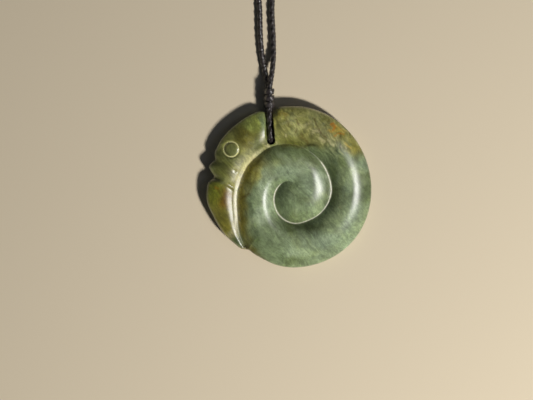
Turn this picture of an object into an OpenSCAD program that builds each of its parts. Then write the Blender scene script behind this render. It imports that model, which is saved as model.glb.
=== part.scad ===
// Koropepe: a coiled creature carved from one flat piece of greenstone, on a plaited cord.
// It lies on its flat back, which is z = 0, with the carved face up and the cord hole towards +Y.
// Plan sizes in the tables are for a stone 55 mm wide, and plan_scale carries them to stone_w.

/* [Stone] */
// Width of the carved stone
stone_w = 55; // [50:1:60]
// Height of the stone's rim, where the carved face meets the edge
rim_h = 4.2; // [3.8:0.1:4.6]
// Height added to every crest of the relief
relief_lift = 0; // [-0.4:0.1:0.8]
// Radius of the plain round outline that the features are cut from
outline_r = 27.2; // [26.5:0.1:27.8]

/* [Cord hole and slot] */
// Diameter of the cord hole
hole_d = 2.8; // [2.6:0.1:3.2]
// Height of the slot's floor above the back, beside the hole
slot_floor = 3.85; // [3.8:0.05:4.2]
// Width of the channel in the back that takes the cord's rear leg
channel_w = 2.8; // [2.4:0.1:3]
// Depth of that channel
channel_deep = 2.4; // [2.35:0.05:2.5]

/* [Eye] */
// Inner radius of the ring eye
eye_r_in = 2.2; // [1.8:0.1:2.4]
// Outer radius of the ring eye
eye_r_out = 2.9; // [2.7:0.1:3.1]
// Depth of the ring's groove
eye_deep = 0.45; // [0.3:0.05:0.8]

/* [Cord and knots] */
// Diameter of the plaited cord
cord_d = 2; // [1.8:0.1:2]
// Clearance between the cord and a knot
knot_gap = 0.05; // [0.04:0.01:0.1]
// Thickness of one wrap of a knot
wrap_t = 0.6; // [0.5:0.02:0.64]
// Wraps of the knot above the stone
bail_wraps = 3; // [2:1:3]
// Wraps of the knot that closes the necklace
closure_wraps = 5; // [4:1:6]

/* [Hidden] */
$fn = 48;

plan_scale = stone_w / 55;
coil_centre = [1.5, -2.5];

// The outline's features, each a smooth swell or hollow on the round.
// angle about the stone's middle, half width in degrees, height
outline_features = [
    [ 91.0,  9.0, -0.30],  // flat of the top edge
    [103.8,  4.8, -2.10],  // cord notch
    [145.0, 14.0,  0.40],  // crown of the head
    [160.0,  2.4, -0.90],  // hollow under the brow
    [166.0,  2.4,  0.40],  // nose
    [172.8,  3.4, -1.75],  // mouth
    [190.0, 10.0,  0.80],  // jaw
    [231.0,  4.0,  0.40],  // lip of the jaw's tip
    [238.0,  3.0, -0.40],  // step past the jaw's tip
    [242.0, 18.0, -1.60],  // coil tucked in below the jaw
    [322.0, 36.0,  1.00],  // swell of the lower right
];

// The groove that parts head, coil and heart, followed from the jaw's tip inward.
// angle about the coil's centre, radius, floor height, crest height outside it, reach of the
// slope outside it, reach of the slope inside it, height of the head's gentle bevel outside it
groove = [
    [-300,  2.8, 7.0, 7.0, 3.0, 2.6, 0.0],
    [-270,  3.7, 6.4, 7.1, 3.4, 3.2, 0.0],
    [-240,  4.8, 5.8, 7.2, 3.9, 4.0, 0.0],
    [-210,  5.5, 5.3, 7.3, 4.3, 4.6, 0.0],
    [-180,  6.3, 4.9, 7.4, 4.7, 5.0, 0.0],
    [-150,  7.4, 4.8, 7.5, 5.0, 5.4, 0.0],
    [-120,  8.8, 4.7, 7.5, 5.6, 5.6, 0.0],
    [ -90,  9.9, 4.7, 7.6, 6.4, 5.8, 0.0],
    [ -60, 10.2, 4.6, 7.7, 7.0, 6.2, 0.0],
    [ -30, 11.3, 4.5, 7.7, 7.2, 6.8, 0.0],
    [   0, 12.5, 4.4, 7.7, 7.4, 7.2, 0.0],
    [  30, 13.2, 4.5, 7.7, 7.2, 6.4, 0.0],
    [  60, 14.5, 4.9, 7.6, 7.0, 5.2, 0.0],
    [  90, 16.3, 5.2, 7.4, 6.6, 5.0, 0.0],
    [ 115, 17.4, 5.0, 7.0, 4.6, 5.4, 0.6],
    [ 133, 17.5, 4.9, 7.0, 3.4, 5.7, 1.0],
    [ 150, 18.05, 4.8, 7.0, 2.4, 6.0, 1.2],
    [ 165, 18.4, 4.6, 7.0, 1.8, 6.3, 1.3],
    [ 180, 19.0, 4.5, 6.9, 1.6, 6.5, 1.6],
    [ 200, 20.2, 4.3, 6.5, 1.4, 7.0, 1.3],
    [ 215, 22.4, 4.0, 5.5, 1.0, 7.4, 0.9],
    [ 229, 24.5, 3.8, 4.5, 0.8, 7.4, 0.4],
    [ 240, 27.0, 3.8, 4.4, 0.8, 7.4, 0.3],
    [ 252, 33.0, 3.8, 4.4, 0.8, 7.4, 0.3],
];
GROOVE_R = 1;
GROOVE_FLOOR = 2;
CREST_OUT = 3;
REACH_OUT = 4;
REACH_IN = 5;
BEVEL = 6;
groove_start = groove[len(groove) - 1][0];
groove_end = groove[0][0];
heart_h = groove[0][CREST_OUT];

// The mouth, from the notch in the outline to the groove behind the jaw
mouth_line = [[-26.5, 3.2], [-23, 2.3], [-20.9, 0.9], [-19.2, 0], [-17.8, -1]];
mouth_deep = 0.5;
mouth_half_w = 0.75;

// The cord's slot on the face, from the hole to the notch in the outline
hole_at = [-6.05, 15.2];
slot_end = [-6.85, 27];
slot_half_w = 0.95;
slot_fall = 0.05;
slot_curve_left = 1.3;
slot_curve_right = 3.2;
slot_shoulder = 0.8;
slot_run = (slot_end - hole_at) / norm(slot_end - hole_at);

eye_at = [-19.4, 12.3];
eye_tilt = [-9, 14];

// How far the slope beside the rim reaches in
rim_reach = 7.4;
rim_share = 0.7;
// The same for the head's bevel, which reaches from the groove towards the rim
bevel_reach = 6;
bevel_share = 0.75;
// The rounded edge below the rim: inset from the outline and share of the rim's height
rim_inset = 0.45;
edge_steps = [[0.02, 0.62], [0, 0.3], [0.9, 0]];

// The mesh of the carved face: rings in all, and how far a spoke of it reaches on average
ring_count = 34;
coil_reach = 25;
// Angles about the stone's middle, closer together over the cord notch and over the face
spoke_angles = [
    each [ 96 : 1.5 : 114],
    each [117 : 3 : 150],
    each [151.5 : 1.5 : 183],
    each [186 : 3 : 453],
];
spoke_count = len(spoke_angles);

// Knots: spacing of the wraps, and how thick a wrap stays in the groove beside it
wrap_pitch = 2.2;
wrap_seat = 0.2;

// The cord's legs in a knot lie against each other, and a knot lies just clear of the surface
leg_gap = cord_d + 0.1;
leg_low = 0.05 + wrap_t + knot_gap + cord_d / 2;
leg_high = leg_low + leg_gap;
on_floor = cord_d / 2;
cord_sides = 8;
// The bail knot's two legs lie one above the other, leaning to the sides by this angle
bail_lean = 15;
bail_mid = (leg_low + leg_high) / 2;
bail_leg = leg_gap / 2 * [sin(bail_lean), cos(bail_lean)];

// Where the knots are. The necklace keeps its size and moves with the stone's hole.
hole_xy = hole_at * plan_scale;
bail_xy = [-6.8, 26.2] + (plan_scale - 1) * hole_at;
closure_xy = bail_xy + [-1, 246];

// The turn that the cord takes up through the hole, centred beyond the hole's edge
back_leg_h = 1.25;
front_leg_h = slot_floor + cord_d / 2 + 0.1;
turn_r = (front_leg_h - back_leg_h) / 2;
turn_from_hole = 1.7;

function beside_slot(along, height) =
    [hole_xy[0] + along * slot_run[0], hole_xy[1] + along * slot_run[1], height];

// The cord's route in order, as places from the bail knot's lower end.
// across, along, height, rings to the next place
closure_y = closure_xy[1] - bail_xy[1];
rear_half = [
    [   6.0, closure_y + leg_gap / 2, leg_low,  1],  // one cut end, past the closure knot
    [  -8.0, closure_y + leg_gap / 2, leg_low,  1],
    [ -16.0, 245.5, on_floor, 2],
    [ -33.0, 240.0, on_floor, 2],
    [ -55.0, 224.0, on_floor, 3],
    [ -68.0, 201.0, on_floor, 3],
    [ -70.0, 174.0, on_floor, 3],
    [ -62.0, 146.0, on_floor, 3],
    [ -46.0, 119.0, on_floor, 3],
    [ -27.0,  92.0, on_floor, 3],
    [ -12.5,  68.0, on_floor, 2],
    [  -5.0,  49.0, on_floor, 2],
    [  -3.3,  36.0, on_floor, 1],
    [  -2.7,  21.6, on_floor, 1],
    [  -2.2,  17.0, on_floor, 1],
    [  -1.4,  13.0, 1.1, 1],
    [  -0.7,   9.8, 1.4, 1],
    [-bail_leg[0],  7.0, bail_mid - bail_leg[1], 1],
    [-bail_leg[0], -0.2, bail_mid - bail_leg[1], 1],
];
front_half = [
    [ bail_leg[0], -0.2, bail_mid + bail_leg[1], 1],
    [ bail_leg[0],  7.0, bail_mid + bail_leg[1], 1],
    [   0.7,   9.8, 3.6, 1],
    [   1.2,  13.4, 2.8, 1],
    [   1.5,  17.6, 1.7, 1],
    [   1.5,  21.6, on_floor, 1],
    [   1.1,  36.0, on_floor, 2],
    [   3.0,  49.0, on_floor, 2],
    [  10.5,  68.0, on_floor, 3],
    [  25.0,  92.0, on_floor, 3],
    [  44.0, 119.0, on_floor, 3],
    [  60.0, 146.0, on_floor, 3],
    [  68.0, 174.0, on_floor, 3],
    [  66.0, 201.0, on_floor, 3],
    [  53.0, 224.0, on_floor, 2],
    [  31.0, 239.0, on_floor, 2],
    [  14.0, 243.9, on_floor, 1],
    [   6.0, closure_y - leg_gap / 2, leg_low, 1],
    [  -8.0, closure_y - leg_gap / 2, leg_low, 1],  // the other cut end
];
turn_step = 36;
on_stone = concat(
    [beside_slot(9.4, back_leg_h), beside_slot(5.2, back_leg_h)],
    [for (a = [-90 : turn_step : 90])
        beside_slot(turn_from_hole - turn_r * cos(a), (front_leg_h + back_leg_h) / 2 + turn_r * sin(a))],
    [beside_slot(5.2, front_leg_h - 0.22), beside_slot(9.2, front_leg_h - 0.45)]
);
function from_knot(row) = [bail_xy[0] + row[0], bail_xy[1] + row[1], row[2]];
route = concat([for (r = rear_half) from_knot(r)], on_stone, [for (r = front_half) from_knot(r)]);
route_rings = concat([for (r = rear_half) r[3]], [for (p = on_stone) 1], [for (r = front_half) r[3]]);

function bell(t) = exp(-t * t);
function arc_gap(a, b) = let(d = abs(a - b) % 360) min(d, 360 - d);
function sum(v, i = 0) = i < len(v) ? v[i] + sum(v, i + 1) : 0;
function rounded_min(a, b, k) =
    let(h = max(0, min(1, 0.5 + (b - a) / (2 * k)))) b + (a - b) * h - k * h * (1 - h);
function outline(a) =
    outline_r + sum([for (f = outline_features) f[2] * bell(arc_gap(a, f[0]) / f[1])]);

// A smooth step from v0 to v1 that leaves at slope m0 and arrives at slope m1
function eased(v0, v1, m0, m1, u) =
    v0 + u * (m0 + u * (3 * (v1 - v0) - 2 * m0 - m1 + u * (2 * (v0 - v1) + m0 + m1)));

// A column of a table at any angle, on a smooth curve through the rows
function row_before(t, a) = max([0, for (i = [0 : len(t) - 2]) if (t[i][0] <= a) i]);
function slope_at(t, c, i) =
    let(p = max(0, i - 1), n = min(len(t) - 1, i + 1)) (t[n][c] - t[p][c]) / (t[n][0] - t[p][0]);
function at(t, c, a) =
    let(
        i = row_before(t, a),
        span = t[i + 1][0] - t[i][0],
        u = max(0, min(1, (a - t[i][0]) / span))
    )
    eased(t[i][c], t[i + 1][c], slope_at(t, c, i) * span, slope_at(t, c, i + 1) * span, u);

// How far a slope has fallen at a distance from its foot, as a share of its whole fall
function fall(dist, reach) = pow(max(0, 1 - dist / reach), 2);

// Distance from a point to a line through points
function to_segment(p, a, b) =
    let(ab = b - a, t = max(0, min(1, (p - a) * ab / (ab * ab)))) norm(p - a - t * ab);
function to_line(p, pts) = min([for (i = [0 : len(pts) - 2]) to_segment(p, pts[i], pts[i + 1])]);

// Everything that one spoke of the mesh needs: direction, length, and the groove's two passes
function spoke(a) =
    let(
        edge = outline(a) * [cos(a), sin(a)],
        ray = edge - coil_centre,
        turn = (atan2(ray[1], ray[0]) + 360) % 360
    )
    [ray / norm(ray), norm(ray), turn];
spokes = [for (a = spoke_angles) spoke(a)];

function pass(turn) =
    turn > groove_start || turn < groove_end ? [] :
    [for (c = [0 : BEVEL]) c == 0 ? turn : at(groove, c, turn)];

// Height of the coil and head, before the slot, mouth and eye are cut
function relief(r, len_out, outer, inner) =
    let(
        g_out = len(outer) ? outer[GROOVE_R] : 1000,
        g_in = len(inner) ? inner[GROOVE_R] : 0,
        band_crest = len(inner) ? inner[CREST_OUT] : heart_h,
        beyond = len(outer) && g_out < len_out && r > g_out,
        crest = beyond ? outer[CREST_OUT] : r > g_in ? band_crest : heart_h,
        from_rim = len_out - r,
        reach_rim = beyond ? min(rim_reach, rim_share * (len_out - g_out)) : rim_reach,
        rim_fall = (crest - rim_h) * fall(from_rim, reach_rim),
        bevel = beyond ? outer[BEVEL] : 0,
        bevel_fall = bevel * fall(r - g_out, min(bevel_reach, bevel_share * (len_out - g_out))),
        outer_fall = len(outer) == 0 ? 0 :
            r > g_out ? (crest - outer[GROOVE_FLOOR] - bevel) * fall(r - g_out, outer[REACH_OUT])
                      : (crest - outer[GROOVE_FLOOR]) * fall(g_out - r, outer[REACH_IN]),
        inner_fall = len(inner) == 0 ? 0 :
            r > g_in ? (crest - inner[GROOVE_FLOOR]) * fall(r - g_in, inner[REACH_OUT])
                     : (crest - inner[GROOVE_FLOOR]) * fall(g_in - r, inner[REACH_IN])
    )
    crest + relief_lift
        - (beyond ? outer_fall + bevel_fall + rim_fall : max(outer_fall, rim_fall) + inner_fall);

function slot_height(p) =
    let(
        along = max(0, (p - hole_at) * slot_run),
        across = (p - hole_at) * [slot_run[1], -slot_run[0]],
        curve = across > 0 ? slot_curve_right : slot_curve_left
    )
    slot_floor - slot_fall * along
        + curve * pow(max(0, to_segment(p, hole_at, slot_end) - slot_half_w), 2);

function face_height(p, r, len_out, outer, inner) =
    let(
        plain = relief(r, len_out, outer, inner),
        cut = mouth_deep * bell(to_line(p, mouth_line) / mouth_half_w)
    )
    rounded_min(plain, slot_height(p), slot_shoulder) - cut;

// One spoke's points, from the ring next to the centre out to the rim.
// A ring lies on each pass of the groove, so that the groove keeps its edge, and the other rings
// are spread evenly between them.
function ring_at(r) = round(ring_count * r / coil_reach);
function between(i, i0, i1, r0, r1) = r0 + (r1 - r0) * (i - i0) / (i1 - i0);
function spoke_points(s) =
    let(
        dir = s[0],
        len_out = s[1],
        outer = pass(s[2]),
        inner = pass(s[2] - 360),
        rim = len_out - rim_inset,
        parted = len(outer) && outer[GROOVE_R] < rim - rim_inset,
        r_out = parted ? outer[GROOVE_R] : rim,
        i_out = parted ? min(ring_at(r_out), ring_count - 1) : ring_count,
        r_in = len(inner) ? inner[GROOVE_R] : 0,
        i_in = ring_at(r_in)
    )
    [
        for (i = [1 : ring_count])
            let(
                r = i <= i_in ? between(i, 0, i_in, 0, r_in) :
                    i <= i_out ? between(i, i_in, i_out, r_in, r_out) :
                    between(i, i_out, ring_count, r_out, rim),
                p = coil_centre + r * dir
            )
            [p[0] * plan_scale, p[1] * plan_scale, face_height(p, r, len_out, outer, inner)],
        for (e = edge_steps)
            let(p = coil_centre + (len_out - e[0]) * dir)
            [p[0] * plan_scale, p[1] * plan_scale, rim_h * e[1]]
    ];

module relief_body() {
    rows = ring_count + len(edge_steps);
    columns = [for (s = spokes) spoke_points(s)];
    points = concat(
        [for (col = columns) for (p = col) p],
        [[coil_centre[0] * plan_scale, coil_centre[1] * plan_scale, heart_h + relief_lift]],
        [[coil_centre[0] * plan_scale, coil_centre[1] * plan_scale, 0]]
    );
    top_middle = spoke_count * rows;
    back_middle = top_middle + 1;
    faces = concat(
        [for (j = [0 : spoke_count - 1]) let(n = (j + 1) % spoke_count)
            [top_middle, n * rows, j * rows]],
        [for (j = [0 : spoke_count - 1]) let(n = (j + 1) % spoke_count) for (i = [0 : rows - 2])
            each [
                [j * rows + i, n * rows + i + 1, j * rows + i + 1],
                [j * rows + i, n * rows + i, n * rows + i + 1]
            ]],
        [for (j = [0 : spoke_count - 1]) let(n = (j + 1) % spoke_count)
            [back_middle, j * rows + rows - 1, n * rows + rows - 1]]
    );
    polyhedron(points = points, faces = faces, convexity = 6);
}

module eye_ring() {
    depth_from = 5.55;
    translate([eye_at[0] * plan_scale, eye_at[1] * plan_scale, depth_from + relief_lift - eye_deep])
        rotate([eye_tilt[0], eye_tilt[1], 0])
            difference() {
                cylinder(r = eye_r_out, h = 4);
                translate([0, 0, -1]) cylinder(r = eye_r_in, h = 6);
            }
}

module cord_channel() {
    roof_r = channel_w / 2;
    length = 16;
    translate([hole_xy[0], hole_xy[1], -1])
        cylinder(d = hole_d, h = 10);
    translate([hole_xy[0], hole_xy[1], 0])
        rotate([0, 0, atan2(slot_run[1], slot_run[0]) - 90]) {
            translate([0, 0, channel_deep - roof_r])
                rotate([-90, 0, 0])
                    cylinder(r = roof_r, h = length);
            translate([-roof_r, 0, -1])
                cube([channel_w, length, 1 + channel_deep - roof_r]);
        }
}

module carved_stone() {
    color("#7d9a6b")
        difference() {
            relief_body();
            cord_channel();
            eye_ring();
        }
}

// One tube swept along the whole route, its sides kept from twisting from ring to ring
function unit(v) = v / norm(v);
function carried(ways, side, i = 0) =
    i == len(ways) ? [] :
    let(s = unit(side - (side * ways[i]) * ways[i])) concat([s], carried(ways, s, i + 1));

function heading(i) =
    i == 0 ? unit(route[1] - route[0]) :
    i == len(route) - 1 ? unit(route[i] - route[i - 1]) :
    let(back = route[i] - route[i - 1], on = route[i + 1] - route[i], b = norm(back), o = norm(on))
    (back * o / b + on * b / o) / (b + o);

function stretch(i) =
    let(reach = norm(route[i + 1] - route[i]), rings = route_rings[i])
    [for (k = [0 : rings - 1])
        eased(route[i], route[i + 1], heading(i) * reach, heading(i + 1) * reach, k / rings)];

module neck_cord() {
    smooth = [for (i = [0 : len(route) - 2]) each stretch(i), route[len(route) - 1]];
    centres = [for (p = smooth) [p[0], p[1], max(p[2], on_floor)]];
    last = len(centres) - 1;
    ways = [for (i = [0 : last])
        unit(unit(centres[min(last, i + 1)] - centres[min(last - 1, i)])
            + unit(centres[max(1, i)] - centres[max(0, i - 1)]))];
    sides = carried(ways, [0, 0, 1]);
    points = [for (i = [0 : last]) for (k = [0 : cord_sides - 1])
        let(turn = (k + 0.5) * 360 / cord_sides)
        centres[i] + cord_d / 2 * (cos(turn) * sides[i] + sin(turn) * cross(ways[i], sides[i]))];
    faces = concat(
        [[for (k = [0 : cord_sides - 1]) k]],
        [for (i = [0 : last - 1]) for (k = [0 : cord_sides - 1])
            let(a = i * cord_sides + k, b = i * cord_sides + (k + 1) % cord_sides)
            each [[a, a + cord_sides, b], [b, a + cord_sides, b + cord_sides]]],
        [[for (k = [cord_sides - 1 : -1 : 0]) last * cord_sides + k]]
    );
    color("#1d1815")
        polyhedron(points = points, faces = faces, convexity = 8);
}

// A knot wrapped round two legs of cord that lie side by side.
// Its length runs along Z and the legs lie apart along X.
module wrapped_knot(wraps) {
    core_r = cord_d / 2 + knot_gap + wrap_seat;
    length = wraps * wrap_pitch;
    points_each = 8;
    edge = [for (i = [0 : wraps * points_each])
        let(across = 2 * (i % points_each) / points_each - 1)
        [core_r + (wrap_t - wrap_seat) * sqrt(1 - across * across), i * wrap_pitch / points_each]];
    bore_r = cord_d / 2 + knot_gap;
    difference() {
        union() {
            for (side = [-1, 1])
                translate([side * leg_gap / 2, 0, 0])
                    rotate_extrude() polygon(concat([[0, 0]], edge, [[0, length]]));
            rotate([90, 0, 90])
                linear_extrude(leg_gap, center = true)
                    polygon(concat(edge, [for (i = [len(edge) - 1 : -1 : 0]) [-edge[i][0], edge[i][1]]]));
        }
        for (side = [-1, 1])
            translate([side * leg_gap / 2, 0, -1]) cylinder(r = bore_r, h = length + 2);
        translate([-leg_gap / 2, -bore_r / 2, -1]) cube([leg_gap, bore_r, length + 2]);
    }
}

module bail_knot() {
    color("#241d19")
        translate([bail_xy[0], bail_xy[1], bail_mid])
            rotate([0, bail_lean, 0])
                rotate([-90, -90, 0]) wrapped_knot(bail_wraps);
}

module closure_knot() {
    color("#241d19")
        translate([closure_xy[0] - closure_wraps * wrap_pitch / 2, closure_xy[1], leg_low])
            rotate([90, 0, 90]) wrapped_knot(closure_wraps);
}

carved_stone();
neck_cord();
bail_knot();
closure_knot();
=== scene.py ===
# A koropepe: a coiled creature carved from one flat piece of greenstone, on a plaited neck cord.
# It lies on its flat back with the whole necklace laid out. The tables are in millimetres, and MM
# turns them into the frame's metres.

import math
from collections import namedtuple

import bpy
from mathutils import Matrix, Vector, noise


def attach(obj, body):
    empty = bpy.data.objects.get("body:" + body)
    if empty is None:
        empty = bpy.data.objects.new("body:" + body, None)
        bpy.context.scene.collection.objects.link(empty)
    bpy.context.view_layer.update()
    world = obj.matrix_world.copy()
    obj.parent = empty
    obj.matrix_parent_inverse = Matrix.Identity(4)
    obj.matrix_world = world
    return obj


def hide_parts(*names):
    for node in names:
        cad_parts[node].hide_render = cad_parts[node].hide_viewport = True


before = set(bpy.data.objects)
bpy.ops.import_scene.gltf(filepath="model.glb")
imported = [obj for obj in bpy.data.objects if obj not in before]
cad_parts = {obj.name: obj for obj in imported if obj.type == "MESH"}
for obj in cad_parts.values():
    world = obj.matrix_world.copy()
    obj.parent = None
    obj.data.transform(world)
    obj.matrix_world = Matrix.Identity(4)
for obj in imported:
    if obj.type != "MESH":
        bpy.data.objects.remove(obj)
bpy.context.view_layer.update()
MM = 0.001


# The table, plain and pale, and the camera straight above it. The stone is 55 mm wide and fills
# 165 of the photograph's 533 pixels, which sets how much of the table the camera takes in.
TABLE_W = 4000.0
TABLE_COLOUR = (0.64, 0.57, 0.45, 1)
PHOTO_W = 178.0
VIEW_MIDDLE = (-7.6, -4.6, 5.0)
CAMERA_UP = 600.0
NEAREST_SEEN = 10.0
SENSOR_W = 36.0

bpy.ops.object.select_all(action="DESELECT")
bpy.ops.mesh.primitive_plane_add(size=TABLE_W * MM, location=(0, 0, 0))
table = bpy.context.object
table.name = "table"

table_look = bpy.data.materials.new("pale_table")
table_look.use_nodes = True
table_shader = table_look.node_tree.nodes["Principled BSDF"]
table_shader.inputs["Base Color"].default_value = TABLE_COLOUR
table_shader.inputs["Roughness"].default_value = 0.8
table.data.materials.append(table_look)

bpy.ops.object.camera_add(location=(Vector(VIEW_MIDDLE) + Vector((0, 0, CAMERA_UP))) * MM)
camera = bpy.context.object
camera.name = "camera"
camera.data.sensor_width = SENSOR_W
camera.data.lens = SENSOR_W * CAMERA_UP / PHOTO_W
camera.data.clip_start = NEAREST_SEEN * MM
bpy.context.scene.camera = camera


# The neck cord: one waxed cord, 2 mm thick, plaited from four strands. It runs from the closing
# knot down through the bail knot, behind the stone, up through the hole, over the face and back.
CORD_D = 2.0
CORD_CLEAR = 0.1
WRAP_T = 0.6
KNOT_GAP = 0.05
KNOT_UP = 0.05
LEG_GAP = CORD_D + CORD_CLEAR
LEG_LOW = KNOT_UP + WRAP_T + KNOT_GAP + CORD_D / 2
LEG_HIGH = LEG_LOW + LEG_GAP
ON_TABLE = CORD_D / 2
BAIL_MID = (LEG_LOW + LEG_HIGH) / 2
BAIL_LEAN = math.radians(15)
LEG_X = LEG_GAP / 2 * math.sin(BAIL_LEAN)
LEG_Z = LEG_GAP / 2 * math.cos(BAIL_LEAN)
BAIL_XY = (-6.8, 26.2)
CLOSURE_ACROSS = -1.0
CLOSURE_UP = 246.0
HOLE_XY = (-6.05, 15.2)
SLOT_END = (-6.85, 27.0)
SLOT_FLOOR = 3.85
BACK_LEG_H = 1.25
FRONT_LEG_H = SLOT_FLOOR + CORD_D / 2 + CORD_CLEAR
TURN_FROM_HOLE = 1.7
TURN_POINTS = 6

# The route's points, across and along from the bail knot's lower end, and up from the table.
REAR_HALF = [
    (6.0, CLOSURE_UP + LEG_GAP / 2, LEG_LOW),
    (-8.0, CLOSURE_UP + LEG_GAP / 2, LEG_LOW),
    (-16.0, 245.5, ON_TABLE),
    (-33.0, 240.0, ON_TABLE),
    (-55.0, 224.0, ON_TABLE),
    (-68.0, 201.0, ON_TABLE),
    (-70.0, 174.0, ON_TABLE),
    (-62.0, 146.0, ON_TABLE),
    (-46.0, 119.0, ON_TABLE),
    (-27.0, 92.0, ON_TABLE),
    (-12.5, 68.0, ON_TABLE),
    (-5.0, 49.0, ON_TABLE),
    (-3.3, 36.0, ON_TABLE),
    (-2.7, 21.6, ON_TABLE),
    (-2.2, 17.0, ON_TABLE),
    (-1.4, 13.0, 1.1),
    (-0.7, 9.8, 1.4),
    (-LEG_X, 7.0, BAIL_MID - LEG_Z),
    (-LEG_X, -0.2, BAIL_MID - LEG_Z),
]
FRONT_HALF = [
    (LEG_X, -0.2, BAIL_MID + LEG_Z),
    (LEG_X, 7.0, BAIL_MID + LEG_Z),
    (0.7, 9.8, 3.6),
    (1.2, 13.4, 2.8),
    (1.5, 17.6, 1.7),
    (1.5, 21.6, ON_TABLE),
    (1.1, 36.0, ON_TABLE),
    (3.0, 49.0, ON_TABLE),
    (10.5, 68.0, ON_TABLE),
    (25.0, 92.0, ON_TABLE),
    (44.0, 119.0, ON_TABLE),
    (60.0, 146.0, ON_TABLE),
    (68.0, 174.0, ON_TABLE),
    (66.0, 201.0, ON_TABLE),
    (53.0, 224.0, ON_TABLE),
    (31.0, 239.0, ON_TABLE),
    (14.0, 243.9, ON_TABLE),
    (6.0, CLOSURE_UP - LEG_GAP / 2, LEG_LOW),
    (-8.0, CLOSURE_UP - LEG_GAP / 2, LEG_LOW),
]
# The points on the stone, along the slot from the hole and up from the table.
BACK_LEG = [(9.4, BACK_LEG_H), (5.2, BACK_LEG_H)]
FRONT_LEG = [(5.2, FRONT_LEG_H - 0.22), (9.2, FRONT_LEG_H - 0.45)]
slot_run = (Vector(SLOT_END) - Vector(HOLE_XY)).normalized()


def from_knot(row):
    """A point of the route, measured from the bail knot's lower end."""
    return Vector((BAIL_XY[0] + row[0], BAIL_XY[1] + row[1], row[2]))


def beside_slot(along, height):
    """A point of the route over or under the slot's middle line."""
    return Vector((*(Vector(HOLE_XY) + slot_run * along), height))


turn_r = (FRONT_LEG_H - BACK_LEG_H) / 2
turn_angles = [math.pi * (k / (TURN_POINTS - 1) - 0.5) for k in range(TURN_POINTS)]
round_hole = [
    (TURN_FROM_HOLE - turn_r * math.cos(a), BACK_LEG_H + turn_r * (1 + math.sin(a)))
    for a in turn_angles
]
cord_route = [from_knot(row) for row in REAR_HALF]
cord_route += [beside_slot(*step) for step in BACK_LEG + round_hole + FRONT_LEG]
cord_route += [from_knot(row) for row in FRONT_HALF]


def eased(v0, v1, m0, m1, u):
    """A smooth step from v0 to v1 that leaves at slope m0 and arrives at slope m1."""
    return v0 + u * (m0 + u * (3 * (v1 - v0) - 2 * m0 - m1 + u * (2 * (v0 - v1) + m0 + m1)))


def heading(points, i):
    """The direction of the smooth curve through the points, at one of them."""
    if i == 0:
        return (points[1] - points[0]).normalized()
    if i == len(points) - 1:
        return (points[i] - points[i - 1]).normalized()
    back = points[i] - points[i - 1]
    on = points[i + 1] - points[i]
    b, o = back.length, on.length
    return (back * (o / b) + on * (b / o)) / (b + o)


def even_steps(points, step):
    """The same curve as points that lie the same distance apart."""
    spaced = [points[0].copy()]
    walked = 0.0
    due = step
    for a, b in zip(points, points[1:]):
        length = (b - a).length
        while walked + length >= due:
            spaced.append(a.lerp(b, (due - walked) / length))
            due += step
        walked += length
    return spaced


def smooth_line(points, step, fine=24):
    """One smooth curve through the points."""
    dense = []
    for i in range(len(points) - 1):
        reach = (points[i + 1] - points[i]).length
        m0 = heading(points, i) * reach
        m1 = heading(points, i + 1) * reach
        dense += [eased(points[i], points[i + 1], m0, m1, k / fine) for k in range(fine)]
    dense.append(points[-1])
    return even_steps(dense, step)


def cord_sides(centres):
    """Two directions across the cord at each point, kept from twisting along it."""
    sides = []
    side = Vector((0, 0, 1))
    for i in range(len(centres)):
        way = (centres[min(i + 1, len(centres) - 1)] - centres[max(i - 1, 0)]).normalized()
        side = (side - way * side.dot(way)).normalized()
        sides.append((way.cross(side), side))
    return sides


# Four strands in a square plait: two wind one way and two the other, each over one and under one.
# A plain core fills the middle.
STRANDS = 4
PLAIT_PITCH = 5.4
STEPS_PER_PITCH = 16
STRAND_SIDES = 8
STRAND_OUT = 0.56
STRAND_WEAVE = 0.10
STRAND_HALF_T = 0.34
STRAND_HALF_W = 0.58
CORE_R = 0.62


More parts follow.
